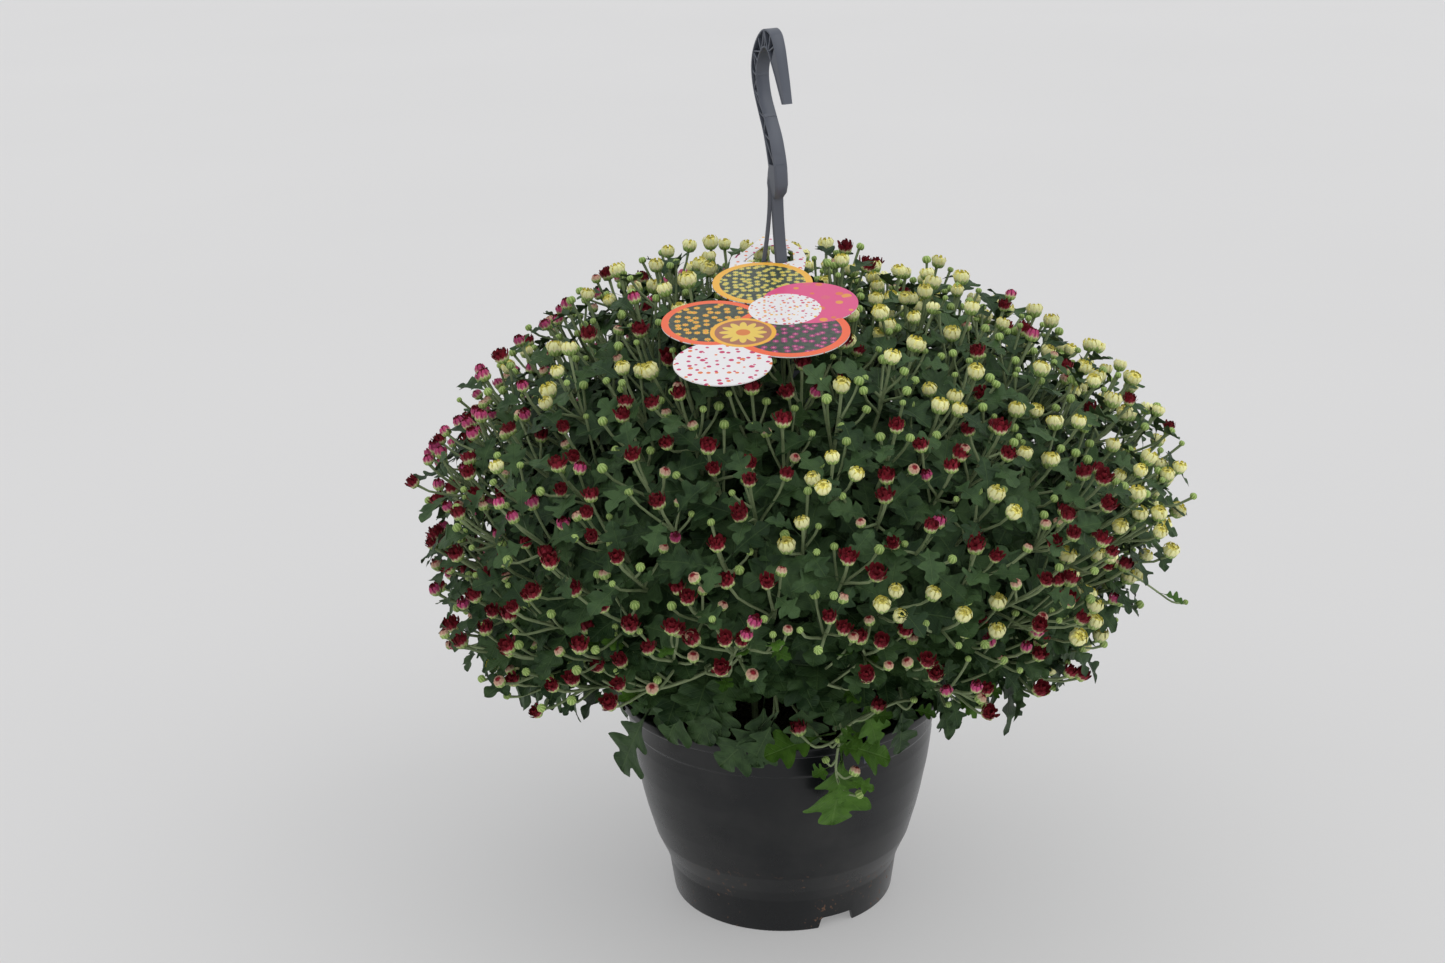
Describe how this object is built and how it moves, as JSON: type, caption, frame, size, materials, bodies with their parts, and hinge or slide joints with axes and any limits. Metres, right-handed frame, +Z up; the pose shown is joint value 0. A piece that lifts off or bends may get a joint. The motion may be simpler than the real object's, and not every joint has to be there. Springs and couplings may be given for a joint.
{
  "type": "potted chrysanthemum",
  "caption": "Dome of budded garden chrysanthemums with lobed leaves in a plastic hanging pot, with a moulded hook hanger and a die-cut card tag round its straps.",
  "frame": {"origin": "on the surface that the pot stands on, under the middle of the plants' spread, 20 mm to the +X side of the pot's own axis", "axes": "+Z up along the pot's axis, +X to the viewer's right, -Y towards the viewer and the tag"},
  "size_m": [0.6229, 0.6203, 0.7174],
  "materials": {
    "pot": "satin",
    "soil": "matte",
    "hanger": "satin",
    "tag": "satin",
    "plant_red": "matte",
    "plant_cream": "matte",
    "plant_pink": "matte"
  },
  "bodies": {
    "root": {"pot": "pot", "soil": "soil", "hanger": "hanger", "tag": "tag", "plant_red": "plant_red", "plant_cream": "plant_cream", "plant_pink": "plant_pink"}
  },
  "joints": []
}
